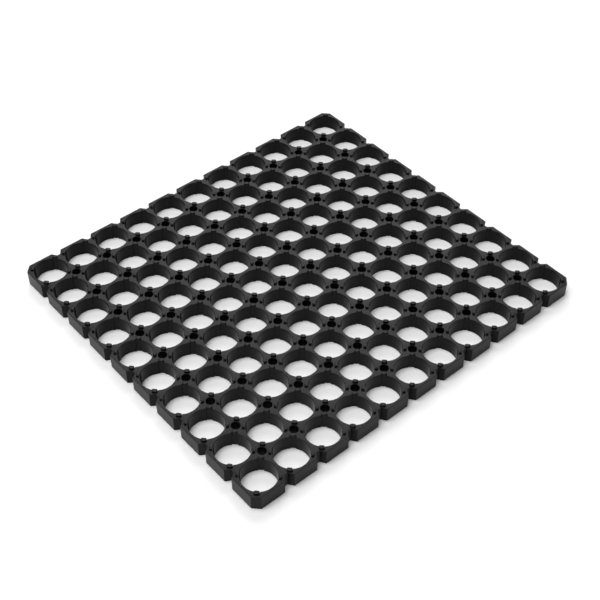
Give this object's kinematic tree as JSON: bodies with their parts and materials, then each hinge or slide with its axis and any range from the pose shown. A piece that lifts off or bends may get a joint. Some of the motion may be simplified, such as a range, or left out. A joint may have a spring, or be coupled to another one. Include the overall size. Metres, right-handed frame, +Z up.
{
  "type": "battery cell holder bracket",
  "caption": "Flat black lattice plate that spaces upright cylindrical battery cells, with through sockets, corner tabs, web pockets and a notched rim.",
  "frame": {"origin": "centre of the plate's outline, on its flat underside", "axes": "+X along the longer side with eleven sockets, +Y along the shorter side with ten, +Z up through the sockets, towards the tabs"},
  "size_m": [0.2234, 0.2032, 0.01],
  "materials": {
    "black_plastic": "moulded, faint sheen"
  },
  "bodies": {
    "root": {"cell_holder_plate": "black_plastic"}
  },
  "joints": []
}
